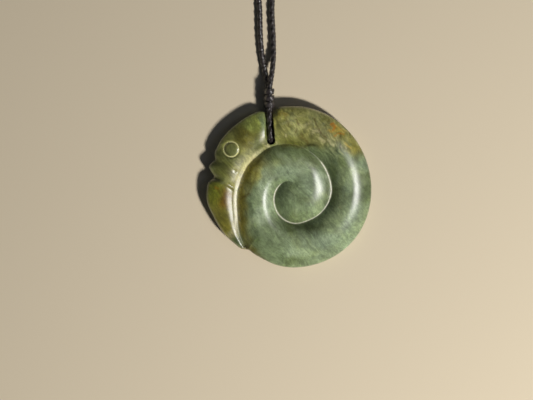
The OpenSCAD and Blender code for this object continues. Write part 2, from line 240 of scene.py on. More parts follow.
def plait(name, centres, sides, half_wide, half_thick, step):
    """A plaited cord as one mesh: half_wide goes with the first side direction."""
    vertices = []
    faces = []
    strand_uv = []
    for strand in range(STRANDS + 1):
        turning = 1 if strand < STRANDS / 2 else -1
        start = math.pi * (strand % 2) + (0 if turning == 1 else math.pi / 2)
        core = strand == STRANDS
        half_t, half_w = (CORE_R, CORE_R) if core else (STRAND_HALF_T, STRAND_HALF_W)
        first = len(vertices)
        for i, (centre, (across, up)) in enumerate(zip(centres, sides)):
            phase = 2 * math.pi * i * step / PLAIT_PITCH
            angle = turning * phase + start
            out = 0.0 if core else STRAND_OUT + turning * STRAND_WEAVE * math.sin(2 * phase)
            for k in range(STRAND_SIDES):
                round_strand = 2 * math.pi * k / STRAND_SIDES
                radial = out + half_t * math.cos(round_strand)
                tangential = half_w * math.sin(round_strand)
                x = radial * math.cos(angle) - tangential * math.sin(angle)
                y = radial * math.sin(angle) + tangential * math.cos(angle)
                place = centre + across * (x * half_wide) + up * (y * half_thick)
                vertices.append(place * MM)
        rings = len(centres)
        for i in range(rings - 1):
            for k in range(STRAND_SIDES):
                a = first + i * STRAND_SIDES + k
                b = first + i * STRAND_SIDES + (k + 1) % STRAND_SIDES
                faces.append((a, b, b + STRAND_SIDES, a + STRAND_SIDES))
                u0, u1 = k / STRAND_SIDES, (k + 1) / STRAND_SIDES
                v0, v1 = i * step, (i + 1) * step
                strand_uv.append(((u0, v0), (u1, v0), (u1, v1), (u0, v1)))
        last = first + (rings - 1) * STRAND_SIDES
        faces.append(tuple(range(first + STRAND_SIDES - 1, first - 1, -1)))
        strand_uv.append(((0, 0),) * STRAND_SIDES)
        faces.append(tuple(range(last, last + STRAND_SIDES)))
        strand_uv.append(((0, 0),) * STRAND_SIDES)
    mesh = bpy.data.meshes.new(name)
    mesh.from_pydata(vertices, [], faces)
    uv = mesh.uv_layers.new(name="along_strand")
    for polygon, corners in zip(mesh.polygons, strand_uv):
        for loop, corner in zip(polygon.loop_indices, corners):
            uv.data[loop].uv = corner
    mesh.polygons.foreach_set("use_smooth", [True] * len(mesh.polygons))
    piece = bpy.data.objects.new(name, mesh)
    bpy.context.collection.objects.link(piece)
    return piece


cord_step = PLAIT_PITCH / STEPS_PER_PITCH
cord_line = [Vector((p.x, p.y, max(p.z, ON_TABLE))) for p in smooth_line(cord_route, cord_step)]
cord_r = CORD_D / 2
neck_cord = plait("plaited_neck_cord", cord_line, cord_sides(cord_line), cord_r, cord_r, cord_step)
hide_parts("neck_cord")
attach(neck_cord, "root")


# The next functions build a material step by step, in the nodes and links at hand.
def joined(node, socket, value):
    """Joins a socket to another, or gives it a plain value."""
    if isinstance(value, bpy.types.NodeSocket):
        links.new(value, node.inputs[socket])
    else:
        node.inputs[socket].default_value = value


def painted(amount, base, over):
    """One colour laid over another by an amount."""
    mix = nodes.new("ShaderNodeMix")
    mix.data_type = "RGBA"
    for socket, value in (("Factor", amount), ("A", base), ("B", over)):
        joined(mix, socket, value)
    return mix.outputs["Result"]


def ranged(value, low, high, to_low, to_high):
    """A value carried from one range to another."""
    reach = nodes.new("ShaderNodeMapRange")
    for socket, number in enumerate((value, low, high, to_low, to_high)):
        joined(reach, socket, number)
    return reach.outputs["Result"]


def clouded(vector, scale, detail, distortion=0.0):
    """A noise pattern: scale is in patches for each unit of the vector."""
    pattern = nodes.new("ShaderNodeTexNoise")
    joined(pattern, "Vector", vector)
    joined(pattern, "Scale", scale)
    joined(pattern, "Detail", detail)
    joined(pattern, "Distortion", distortion)
    return pattern.outputs["Fac"]


def bumped(height, strength, distance):
    """A bump that follows a height: distance is in metres."""
    bump = nodes.new("ShaderNodeBump")
    joined(bump, "Height", height)
    joined(bump, "Strength", strength)
    joined(bump, "Distance", distance)
    return bump


# Black polyester thread, waxed: fine fibres run along each strand, and the wax leaves a low shine
# with duller patches.
CORD_COLOUR = (0.007, 0.005, 0.006, 1)
CORD_WORN = (0.13, 0.11, 0.115, 1)
FIBRES = (26, 0.9, 1)
WAX_PATCHES = 900

cord_look = bpy.data.materials.new("waxed_plaited_cord")
cord_look.use_nodes = True
nodes = cord_look.node_tree.nodes
links = cord_look.node_tree.links
cord_shader = nodes["Principled BSDF"]
strand_uv = nodes.new("ShaderNodeUVMap")
strand_uv.uv_map = "along_strand"
strand_way = nodes.new("ShaderNodeMapping")
joined(strand_way, "Vector", strand_uv.outputs["UV"])
joined(strand_way, "Scale", FIBRES)
fibres = clouded(strand_way.outputs["Vector"], 1.0, 3)
wax = clouded(nodes.new("ShaderNodeTexCoord").outputs["Object"], WAX_PATCHES, 2)
joined(cord_shader, "Base Color", painted(ranged(fibres, 0.45, 0.8, 0, 1), CORD_COLOUR, CORD_WORN))
joined(cord_shader, "Roughness", ranged(wax, 0, 1, 0.34, 0.62))
joined(cord_shader, "Coat Weight", 1.0)
joined(cord_shader, "Coat Roughness", 0.16)
joined(cord_shader, "Normal", bumped(fibres, 0.5, 0.00008).outputs["Normal"])
neck_cord.data.materials.append(cord_look)


# The two wrapped knots: a flattened length of the same plait wound round the two legs. The bail
# knot stands its legs one above the other, and the closing knot lays them side by side.
WRAP_PITCH = 2.2
BAIL_WRAPS = 3
CLOSURE_WRAPS = 5
WRAP_HALF_T = WRAP_T / 2
WRAP_HALF_W = 1.06
# From what share of a turn a wrap steps on to the next, how much it leans along the legs, and how
# sharply it swings from one leg over to the other.
WRAP_STEP_FROM = 0.8
WRAP_LEAN = 0.12
CORNER_SHARPNESS = 4.0
POINTS_PER_WRAP = 96
WRAP_STEPS_PER_PITCH = 18
JUST_SHORT = 1e-6


def smooth(t):
    """A soft step from 0 to 1 while t goes from 0 to 1."""
    t = max(0.0, min(1.0, t))
    return t * t * (3 - 2 * t)


def wound(name, foot, axis, legs_apart, start, wraps):
    """A plait wound round two legs, from the point foot between them on along the axis.

    start points to the side that hides the plait's ends and its steps from turn to turn."""
    turn_to = axis.cross(start)
    round_r = CORD_D / 2 + KNOT_GAP + WRAP_HALF_T
    points = []
    normals = []
    count = wraps * POINTS_PER_WRAP
    for i in range(count + 1):
        turns = min(wraps * i / count, wraps - JUST_SHORT)
        whole = math.floor(turns)
        part = turns - whole
        angle = 2 * math.pi * part
        normal = start * math.cos(angle) + turn_to * math.sin(angle)
        lean = max(-1.0, min(1.0, CORNER_SHARPNESS * normal.dot(legs_apart)))
        last_turn = whole == wraps - 1
        step_up = 0.0 if last_turn else smooth((part - WRAP_STEP_FROM) / (1 - WRAP_STEP_FROM))
        along = (whole + step_up + 0.5 + WRAP_LEAN * (part - 0.5) * (1 - step_up)) * WRAP_PITCH
        points.append(foot + axis * along + normal * round_r + legs_apart * (lean * LEG_GAP / 2))
        normals.append(normal)
    step = PLAIT_PITCH / WRAP_STEPS_PER_PITCH
    centres = even_steps(points, step)
    sides = []
    nearest = 0
    for centre in centres:
        while nearest < count and (points[nearest + 1] - centre).length <= (points[nearest] - centre).length:
            nearest += 1
        sides.append((axis, normals[nearest]))
    return plait(name, centres, sides, WRAP_HALF_W, WRAP_HALF_T, step)


bail_up = Vector((math.sin(BAIL_LEAN), 0, math.cos(BAIL_LEAN)))
bail_foot = Vector((*BAIL_XY, BAIL_MID))
bail_knot = wound("bail_knot_wraps", bail_foot, Vector((0, 1, 0)), bail_up, -bail_up, BAIL_WRAPS)
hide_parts("bail_knot")

closure_left = BAIL_XY[0] + CLOSURE_ACROSS - CLOSURE_WRAPS * WRAP_PITCH / 2
closure_knot = wound(
    "closure_knot_wraps",
    Vector((closure_left, BAIL_XY[1] + CLOSURE_UP, LEG_LOW)),
    Vector((1, 0, 0)),
    Vector((0, 1, 0)),
    Vector((0, 0, -1)),
    CLOSURE_WRAPS,
)
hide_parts("closure_knot")

for knot in (bail_knot, closure_knot):
    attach(knot, "root")
    knot.data.materials.append(cord_look)


# The stone: one flat piece of greenstone, ground to a near round, carved on its face and polished.
# The outline is a circle with each feature as a smooth swell or hollow.
OUTLINE_R = 27.2
COIL_CENTRE = Vector((1.5, -2.5))
# angle about the stone's middle, half width in degrees, height
OUTLINE_FEATURES = [
    (91.0, 9.0, -0.30),
    (103.8, 4.8, -2.10),
    (145.0, 14.0, 0.40),
    (160.0, 2.4, -0.90),
    (166.0, 2.4, 0.40),
    (172.8, 3.4, -1.75),
    (190.0, 10.0, 0.80),
    (231.0, 4.0, 0.40),
    (238.0, 3.0, -0.40),
    (242.0, 18.0, -1.60),
    (322.0, 36.0, 1.00),
]


def bell(t):
    """A round swell: 1 at 0, and almost nothing past 2."""
    return math.exp(-t * t)


def outline(angle):
    """How far the outline is from the stone's middle, at an angle in degrees."""
    reach = OUTLINE_R
    for at, half_width, height in OUTLINE_FEATURES:
        gap = abs(angle - at) % 360
        reach += height * bell(min(gap, 360 - gap) / half_width)
    return reach


# One groove parts head, coil and heart, and winds in from the jaw's tip to the middle.
# angle about the coil's centre, radius, floor height, crest height outside it, reach of the slope
# outside it, reach of the slope inside it, height of the gentle bevel on the head's side
GROOVE = [
    (-300, 2.8, 7.0, 7.0, 3.0, 2.6, 0.0),
    (-270, 3.7, 6.4, 7.1, 3.4, 3.2, 0.0),
    (-240, 4.8, 5.8, 7.2, 3.9, 4.0, 0.0),
    (-210, 5.5, 5.3, 7.3, 4.3, 4.6, 0.0),
    (-180, 6.3, 4.9, 7.4, 4.7, 5.0, 0.0),
    (-150, 7.4, 4.8, 7.5, 5.0, 5.4, 0.0),
    (-120, 8.8, 4.7, 7.5, 5.6, 5.6, 0.0),
    (-90, 9.9, 4.7, 7.6, 6.4, 5.8, 0.0),
    (-60, 10.2, 4.6, 7.7, 7.0, 6.2, 0.0),
    (-30, 11.3, 4.5, 7.7, 7.2, 6.8, 0.0),
    (0, 12.5, 4.4, 7.7, 7.4, 7.2, 0.0),
    (30, 13.2, 4.5, 7.7, 7.2, 6.4, 0.0),
    (60, 14.5, 4.9, 7.6, 7.0, 5.2, 0.0),
    (90, 16.3, 5.2, 7.4, 6.6, 5.0, 0.0),
    (115, 17.4, 5.0, 7.0, 4.6, 5.4, 0.6),
    (133, 17.5, 4.9, 7.0, 3.4, 5.7, 1.0),
    (150, 18.05, 4.8, 7.0, 2.4, 6.0, 1.2),
    (165, 18.4, 4.6, 7.0, 1.8, 6.3, 1.3),
    (180, 19.0, 4.5, 6.9, 1.6, 6.5, 1.6),
    (200, 20.2, 4.3, 6.5, 1.4, 7.0, 1.3),
    (215, 22.4, 4.0, 5.5, 1.0, 7.4, 0.9),
    (229, 24.5, 3.8, 4.5, 0.8, 7.4, 0.4),
    (240, 27.0, 3.8, 4.4, 0.8, 7.4, 0.3),
    (252, 33.0, 3.8, 4.4, 0.8, 7.4, 0.3),
]
RIM_H = 4.2
RIM_REACH = 7.4
RIM_SHARE = 0.7
BEVEL_REACH = 6.0
BEVEL_SHARE = 0.75
GroovePass = namedtuple("GroovePass", "radius floor crest reach_out reach_in bevel")
HEART_CREST = GROOVE[0][3]


def groove_at(turn):
    """The groove where it passes an angle, or nothing beyond its ends."""
    if turn < GROOVE[0][0] or turn > GROOVE[-1][0]:
        return None
    i = max(k for k in range(len(GROOVE) - 1) if GROOVE[k][0] <= turn)
    span = GROOVE[i + 1][0] - GROOVE[i][0]
    u = (turn - GROOVE[i][0]) / span

    def slope(k, column):
        low, high = max(0, k - 1), min(len(GROOVE) - 1, k + 1)
        return (GROOVE[high][column] - GROOVE[low][column]) / (GROOVE[high][0] - GROOVE[low][0])

    return GroovePass(*[
        eased(GROOVE[i][c], GROOVE[i + 1][c], slope(i, c) * span, slope(i + 1, c) * span, u)
        for c in range(1, len(GROOVE[i]))
    ])


def fall(distance, reach):
    """How far a slope has fallen at a distance from its foot, as a share of its whole fall."""
    return max(0.0, 1 - distance / reach) ** 2


def groove_fall(r, crest, groove):
    """How far the face has fallen from its crest towards a pass of the groove."""
    if groove is None:
        return 0.0
    slope_reach = groove.reach_out if r > groove.radius else groove.reach_in
    return (crest - groove.floor) * fall(abs(r - groove.radius), slope_reach)


def relief(r, reach, outer, inner):
    """Height of head and coil on one ray, before the slot and the mouth are cut."""
    if outer is not None and outer.radius < min(r, reach):
        crest = outer.crest
        head_w = reach - outer.radius
        rim_fall = (crest - RIM_H) * fall(reach - r, min(RIM_REACH, RIM_SHARE * head_w))
        past = r - outer.radius
        wall_fall = (crest - outer.floor - outer.bevel) * fall(past, outer.reach_out)
        bevel_fall = outer.bevel * fall(past, min(BEVEL_REACH, BEVEL_SHARE * head_w))
        return crest - wall_fall - bevel_fall - rim_fall
    crest = inner.crest if inner is not None and r > inner.radius else HEART_CREST
    rim_fall = (crest - RIM_H) * fall(reach - r, RIM_REACH)
    return crest - max(groove_fall(r, crest, outer), rim_fall) - groove_fall(r, crest, inner)


# Cuts in the face: the slot for the cord, which is wider and softer on its left and has a bevel
# there, the mouth, the ring eye, and one small old chip on the cheek.
SLOT_HALF_W_LEFT = 0.95
SLOT_HALF_W_RIGHT = 0.75
SLOT_FALL = 0.05
SLOT_CURVE_LEFT = 5.0
SLOT_CURVE_RIGHT = 14.0
SLOT_SHOULDER_LEFT = 0.6
SLOT_SHOULDER_RIGHT = 0.3
SLOT_BEVEL = 0.8
SLOT_BEVEL_REACH = 3.6
SLOT_BEVEL_FROM = 1.5
SLOT_SIDES_BLEND = 1.6
MOUTH_LINE = [
    Vector((-26.5, 3.2)),
    Vector((-23.0, 2.3)),
    Vector((-20.9, 0.9)),
    Vector((-19.2, 0.0)),
    Vector((-17.8, -1.0)),
]
MOUTH_DEEP = 0.5
MOUTH_HALF_W = 0.75
EYE_XY = Vector((-19.3, 12.25))
EYE_R = 2.5
EYE_HALF_W = 0.34
EYE_DEEP = 0.35
CHIP_XY = Vector((-18.0, 5.1))
CHIP_R = 0.5
CHIP_DEEP = 0.22


def to_segment(p, a, b):
    """Distance from a point to a line between two points."""
    along = max(0.0, min(1.0, (p - a).dot(b - a) / (b - a).length_squared))
    return (p - a.lerp(b, along)).length


def slot_cut(p):
    """The slot's height at a point, how much its bevel lowers the face, and its edge's roundness."""
    offset = p - Vector(HOLE_XY)
    along = offset.dot(slot_run)
    across = offset.x * slot_run.y - offset.y * slot_run.x
    right = smooth(0.5 + max(across, -along) / SLOT_SIDES_BLEND)
    half_w = SLOT_HALF_W_LEFT + (SLOT_HALF_W_RIGHT - SLOT_HALF_W_LEFT) * right
    curve = SLOT_CURVE_LEFT + (SLOT_CURVE_RIGHT - SLOT_CURVE_LEFT) * right
    shoulder = SLOT_SHOULDER_LEFT + (SLOT_SHOULDER_RIGHT - SLOT_SHOULDER_LEFT) * right
    outside = max(0.0, to_segment(p, Vector(HOLE_XY), Vector(SLOT_END)) - half_w)
    height = SLOT_FLOOR - SLOT_FALL * max(0.0, along) + curve * outside**2
    bevel = SLOT_BEVEL * fall(outside, SLOT_BEVEL_REACH) * smooth(-across / SLOT_BEVEL_FROM)
    return height, bevel, shoulder + bevel


def rounded_min(a, b, k):
    """The lower of two heights, with the edge between them rounded."""
    h = max(0.0, min(1.0, 0.5 + (b - a) / (2 * k)))
    return b + (a - b) * h - k * h * (1 - h)


def face_height(p, r, reach, outer, inner):
    """Height of the finished face at a point p, which lies r along its ray."""
    slot, slot_bevel, shoulder = slot_cut(p)
    plain = rounded_min(relief(r, reach, outer, inner) - slot_bevel, slot, shoulder)
    from_mouth = min(to_segment(p, a, b) for a, b in zip(MOUTH_LINE, MOUTH_LINE[1:]))
    mouth = MOUTH_DEEP * bell(from_mouth / MOUTH_HALF_W)
    eye = EYE_DEEP * bell(((p - EYE_XY).length - EYE_R) / EYE_HALF_W)
    chip = CHIP_DEEP * bell((p - CHIP_XY).length / CHIP_R)
    return plain - mouth - eye - chip


# The face is a grid of spokes and rings, bent to the relief, with a ring on each pass of the
# groove so that it keeps its edge. The last rings round the rim over to the flat back.
SPOKES = 720
RINGS = 104
COIL_REACH = 25.0
RIM_INSET = 0.45
# distance in from the outline, share of the rim's height
EDGE_RINGS = [(0.2, 0.94), (0.05, 0.8), (0.0, 0.6), (0.0, 0.34), (0.25, 0.14), (0.9, 0.0)]
MERGED_WITHIN = 0.002


def ring_radius(ring, rim, outer, inner):
    """Radius of a ring on one ray: rings are spread evenly between the groove's passes."""
    parted = outer is not None and outer.radius < rim - RIM_INSET
    stops = [(0, 0.0)]
    if inner is not None:
        stops.append((round(RINGS * inner.radius / COIL_REACH), inner.radius))
    if parted:
        stops.append((min(round(RINGS * outer.radius / COIL_REACH), RINGS - 2), outer.radius))
    stops.append((RINGS, rim))
    for (i0, r0), (i1, r1) in zip(stops, stops[1:]):
        if ring <= i1:
            return r0 + (r1 - r0) * (ring - i0) / (i1 - i0)


rows = RINGS + 1 + len(EDGE_RINGS)
bpy.ops.object.select_all(action="DESELECT")
bpy.ops.mesh.primitive_grid_add(
    x_subdivisions=rows - 1, y_subdivisions=SPOKES, size=1, location=(0, 0, 0)
)
stone = bpy.context.object
stone.name = "greenstone_koropepe"
places = []
for spoke in range(SPOKES + 1):
    angle = 360.0 * (spoke % SPOKES) / SPOKES
    edge = outline(angle) * Vector((math.cos(math.radians(angle)), math.sin(math.radians(angle))))
    ray = edge - COIL_CENTRE
    reach = ray.length
    way = ray.normalized()
    turn = math.degrees(math.atan2(ray.y, ray.x)) % 360
    outer = groove_at(turn)
    inner = groove_at(turn - 360)
    for ring in range(RINGS + 1):
        r = ring_radius(ring, reach - RIM_INSET, outer, inner)
        p = COIL_CENTRE + way * r
        places.append((p.x * MM, p.y * MM, face_height(p, r, reach, outer, inner) * MM))
    rim_h = places[-1][2]
    for inset, share in EDGE_RINGS:
        p = COIL_CENTRE + way * (reach - inset)
        places.append((p.x * MM, p.y * MM, rim_h * share))
for vertex, place_at in zip(stone.data.vertices, places):
    vertex.co = place_at

bpy.ops.object.mode_set(mode="EDIT")
bpy.ops.mesh.select_all(action="SELECT")
bpy.ops.mesh.remove_doubles(threshold=MERGED_WITHIN * MM)
bpy.ops.mesh.select_all(action="DESELECT")
bpy.ops.mesh.select_non_manifold()
bpy.ops.mesh.edge_face_add()
bpy.ops.mesh.select_all(action="SELECT")
bpy.ops.mesh.normals_make_consistent(inside=False)
bpy.ops.object.mode_set(mode="OBJECT")

# The cord hole, drilled straight through, and the channel in the back for the cord's rear leg.
HOLE_D = 2.8
CHANNEL_W = 2.8
CHANNEL_DEEP = 2.4
CHANNEL_LENGTH = 16.0
DRILL_LENGTH = 20.0
ROUND_SIDES = 64
SHARP_FROM = math.radians(40)
channel_arch_h = CHANNEL_DEEP - CHANNEL_W / 2
slot_turn = math.atan2(slot_run.y, slot_run.x) - math.pi / 2
channel_middle = Vector(HOLE_XY) + slot_run * (CHANNEL_LENGTH / 2)

bpy.ops.mesh.primitive_cylinder_add(
    vertices=ROUND_SIDES,
    radius=HOLE_D / 2 * MM,
    depth=DRILL_LENGTH * MM,
    location=Vector((*HOLE_XY, 0)) * MM,
)
drill = bpy.context.object
bpy.ops.mesh.primitive_cylinder_add(
    vertices=ROUND_SIDES,
    radius=CHANNEL_W / 2 * MM,
    depth=CHANNEL_LENGTH * MM,
    location=Vector((*channel_middle, channel_arch_h)) * MM,
    rotation=(math.pi / 2, 0, slot_turn),
)
channel_arch = bpy.context.object
bpy.ops.mesh.primitive_cube_add(
    size=1,
    location=Vector((*channel_middle, 0)) * MM,
    rotation=(0, 0, slot_turn),
    scale=Vector((CHANNEL_W, CHANNEL_LENGTH, 2 * channel_arch_h)) * MM,
)
channel_walls = bpy.context.object
for cutter in (channel_arch, channel_walls, drill):
    cut = stone.modifiers.new("cut", "BOOLEAN")
    cut.operation = "DIFFERENCE"
    cut.solver = "EXACT"
    cut.object = cutter
    bpy.ops.object.select_all(action="DESELECT")
    bpy.context.view_layer.objects.active = stone
    stone.select_set(True)
    bpy.ops.object.modifier_apply(modifier=cut.name)
    bpy.data.objects.remove(cutter)
bpy.ops.object.shade_smooth_by_angle(angle=SHARP_FROM)
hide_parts("carved_stone")
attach(stone, "root")


# The stone's colours lie in soft zones: sage green on the coil, olive on the head and jaw, and a
# golden rind at the top right. Some zones also hold painted light: lighter tones on slopes that face
# away from the lamp, darker tones in valleys where shade falls, and painted highlights and sheen on
# slopes that face the light. Rust and brown stains follow old cracks, and the groove's floor and the
# ring eye are scratched pale because no polish reaches them; along the groove that pale line is also
# a painted highlight where it faces the light. The fibres run down to the right.
FIBRE_TURN = math.radians(-54)

# Colours as a camera sees them, from 0 to 255.
SAGE = (108, 125, 90)
MID_SAGE = (118, 135, 100)
BRIGHT_SAGE = (148, 166, 136)
HEAD_SAGE = (172, 186, 100)
HEAD_OLIVE = (110, 108, 46)
JAW_OLIVE = (130, 138, 52)
COOL_HEAD = (124, 142, 98)
JAW_GREY = (136, 136, 104)
RIND_SAGE = (128, 130, 76)
DEEP_SAGE = (84, 98, 64)
PALE_SAGE = (134, 152, 122)
YELLOW_SAGE = (116, 120, 68)
BROW_SAGE = (156, 160, 90)
LIGHT_SAGE = (126, 134, 82)
OLIVE = (122, 119, 50)
DARK_OLIVE = (100, 106, 58)
VALLEY_OLIVE = (62, 64, 30)
FOOT_OLIVE = (92, 96, 46)
GOLD = (138, 134, 60)
PALE_GOLD = (164, 166, 96)
BRIGHT_GOLD = (204, 202, 104)
AMBER = (134, 124, 32)
GOLD_VEIN = (196, 160, 50)
RUSTY = (116, 92, 26)
COOL_SAGE = (118, 134, 110)
STRIP_CREAM = (212, 208, 166)
PALE_VEIN = (196, 194, 140)
# across, up, half width, half height, colour
TONE_ZONES = [
    (1.5, -3.5, 5.0, 5.0, SAGE),
    # painted sheen: paler where the heart's slope catches the light
    (7.5, 0.5, 3.0, 4.0, PALE_SAGE),
    (0.0, 4.5, 3.0, 2.0, PALE_SAGE),
    (2.0, 11.0, 8.0, 2.0, SAGE),
    # painted highlight on the left coil's crest
    (-8.3, -3.0, 1.6, 6.5, BRIGHT_SAGE),
    (-11.8, -4.0, 2.0, 5.0, MID_SAGE),
    # painted light: lighter on a slope that faces away from the lamp
    (-9.5, -10.0, 2.0, 3.0, BRIGHT_SAGE),
    (-6.0, -17.0, 7.0, 5.0, MID_SAGE),
    (6.0, -20.0, 6.0, 4.0, PALE_SAGE),
    (0.0, -24.6, 4.0, 1.5, SAGE),
    (12.0, -20.5, 4.0, 3.0, COOL_SAGE),
    # painted reflection: a soft bluish sheen of the sky on the lower right
    (23.0, -10.0, 2.0, 4.0, COOL_SAGE),
    # partly painted sheen: paler where the lower right catches a broad reflection
    (18.0, -12.0, 6.0, 6.0, PALE_SAGE),
    (24.5, 0.0, 3.0, 4.5, DEEP_SAGE),
    (24.3, 6.5, 2.0, 2.5, PALE_SAGE),
    # painted highlight on the outer band's crest
    (19.0, 2.0, 2.0, 5.0, PALE_SAGE),
    # painted shade in the valley outside the groove on the right
    (14.0, 1.0, 2.0, 7.0, DEEP_SAGE),
    (3.0, -13.5, 7.0, 1.5, DEEP_SAGE),
    (18.5, 9.0, 3.5, 3.0, SAGE),
    (21.8, 13.0, 2.2, 2.5, GOLD),
    (8.5, 18.8, 5.0, 4.0, RIND_SAGE),
    (15.5, 18.5, 2.5, 2.0, GOLD),
    (2.0, 22.5, 4.0, 3.0, PALE_GOLD),
    # painted light in these two: lighter on the notch's walls, which face away from the lamp
    (-3.8, 24.0, 1.6, 1.8, BRIGHT_GOLD),
    (-5.0, 22.5, 0.8, 2.2, BRIGHT_GOLD),
    # painted shade in the valley outside the groove at the top right
    (6.8, 13.7, 2.2, 0.8, VALLEY_OLIVE),
    (4.0, 12.0, 2.5, 0.9, SAGE),
    (1.5, 14.5, 3.5, 0.9, FOOT_OLIVE),
    (-2.0, 17.5, 3.0, 4.0, YELLOW_SAGE),
    # painted light: the head's top faces away from the lamp and is made lighter
    (-11.6, 20.8, 3.0, 2.8, HEAD_SAGE),
    (-8.9, 21.5, 1.3, 3.0, COOL_HEAD),
    (-9.5, 14.0, 3.0, 2.5, DARK_OLIVE),
    (-15.9, 12.8, 1.0, 1.5, PALE_GOLD),
    (-14.5, 16.5, 3.5, 3.5, HEAD_OLIVE),
    (-20.0, 9.0, 3.0, 3.0, DARK_OLIVE),
    # painted light: the brow's edge faces away from the lamp and is made lighter
    (-21.0, 15.5, 2.5, 3.0, BROW_SAGE),
    (-19.3, 12.2, 1.8, 1.8, LIGHT_SAGE),
    (-23.5, 5.0, 3.0, 3.0, DARK_OLIVE),
    (-18.0, 5.0, 2.5, 3.0, YELLOW_SAGE),
    (-24.5, -1.5, 2.5, 3.0, JAW_OLIVE),
    (-21.8, -4.0, 1.6, 2.6, RUSTY),
    (-21.5, -12.0, 3.0, 5.0, OLIVE),
    (-19.3, -15.2, 1.4, 2.2, JAW_GREY),
    (-17.0, -19.0, 2.0, 2.5, DEEP_SAGE),
    (-13.5, -18.8, 2.0, 2.0, DARK_OLIVE),
    (-13.8, -20.7, 1.3, 1.3, VALLEY_OLIVE),
    (-12.0, -20.2, 1.2, 1.2, FOOT_OLIVE),
    (-10.8, -17.9, 1.8, 1.8, DEEP_SAGE),
    (-11.5, 5.5, 2.0, 3.0, PALE_GOLD),
]
ZONE_CORE = 0.1
# How the zones' edges and the drawn lines stray: layer, crowding, distance.
ZONES_STRAY = (0, 0.35, 1.2)
LINES_STRAY = (5, 1.1, 0.4)
# The strip on the head's side is a painted reflection of the bevel beside the groove.
# angle about the coil's centre, strength, distance from the groove, half width
HEAD_STRIP = [
    (112, 0.0, 0.5, 0.4),
    (122, 0.25, 0.6, 0.5),
    (138, 0.8, 0.7, 1.0),
    (150, 0.65, 0.5, 0.8),
    (165, 0.6, 0.6, 0.6),
    (180, 1.0, 0.45, 0.45),
    (202, 1.0, 0.45, 0.45),
    (212, 0.4, 0.8, 0.6),
    (226, 0.05, 0.8, 0.6),
    (232, 0.0, 0.8, 0.6),
]
# angle about the coil's centre, how brightly the groove's line shows there: brightest where it faces
# the light, as a painted highlight over its pale scratched floor
LINE_SHOWS = [
    (-300, 0.0),
    (-225, 0.1),
    (-195, 0.9),
    (-150, 0.9),
    (-90, 0.6),
    (-45, 0.6),
    (-10, 0.8),
    (0, 1.0),
    (47, 1.0),
    (51, 0.3),
    (75, 0.1),
    (112, 0.08),
    (120, 0.0),
    (150, 0.1),
    (170, 0.8),
    (205, 0.8),
    (225, 0.2),
    (252, 0.1),
]
LINE_HALF_W = 0.22
EYE_LINE_HALF_W = 0.26

# What follows the groove: a brown stain on its inner side, its amber lighter than the stain itself
# as painted light against the shade on the groove's inner wall; a cream strip on the head's side, a
# painted reflection of the bevel, that goes over into a white painted highlight along the groove's
# line; and a cream wash beside that, a painted highlight. A span is an angle, the degrees over
# which it rises, the angle where it ends, and the degrees over which it falls.
STAIN = 0.85
STAIN_SPAN = (118, 30, 232, 20)
STAIN_W = 4.2
STAIN_FADE = 1.3
STAIN_EDGE = 0.5
HEAD_EDGE = 0.75
HEAD_EDGE_W = 0.6
WASH = 0.5
WASH_SPAN = (125, 18, 178, 10)
WASH_W = 3.0
WHITE_GLINT_FROM = 148
WHITE_GLINT_OVER = 20

# What follows the outline, with its spans about the stone's middle: a dark line along the edge at
# the top and a light strip outside it, a painted reflection on an edge that faces away from the lamp,
# veins in the rind, a brown stain past the jaw's tip, and a thin light line where the rim turns over,
# a painted highlight.
EDGE_SPAN = (55, 20, 101, 5)
EDGE_LINE = 0.95
EDGE_LINE_SHOWS = 0.8
EDGE_LINE_HALF_W = 0.17
# The light strip on the top edge is a painted reflection: the edge faces away from the lamp.
EDGE_STRIP = 0.8
EDGE_STRIP_IN = 0.85
EDGE_STRIP_SOFT = 0.2
RIND_SPAN = (22, 16, 106, 5)
RIND_FROM = 15.5
RIND_OVER = 3.0
PALE_VEINS = 0.5
DARK_VEINS = 0.65
VEINS_W = 0.8
VEINS_LENGTH = 2.6
VEINS_LAYER = 9
VEINS_SMOOTH = 0.9
VEINS_FINER = 2.0
VEINS_OCTAVES = 3
TIP_STAIN = 0.7
TIP_SPAN = (228, 6, 258, 14)
TIP_STAIN_W = 1.3
# The thin light line along the rim is a painted highlight.
RIM_LINE = 0.35
RIM_SPAN = (95, 10, 240, 8)
RIM_LINE_IN = 0.3
RIM_LINE_HALF_W = 0.2

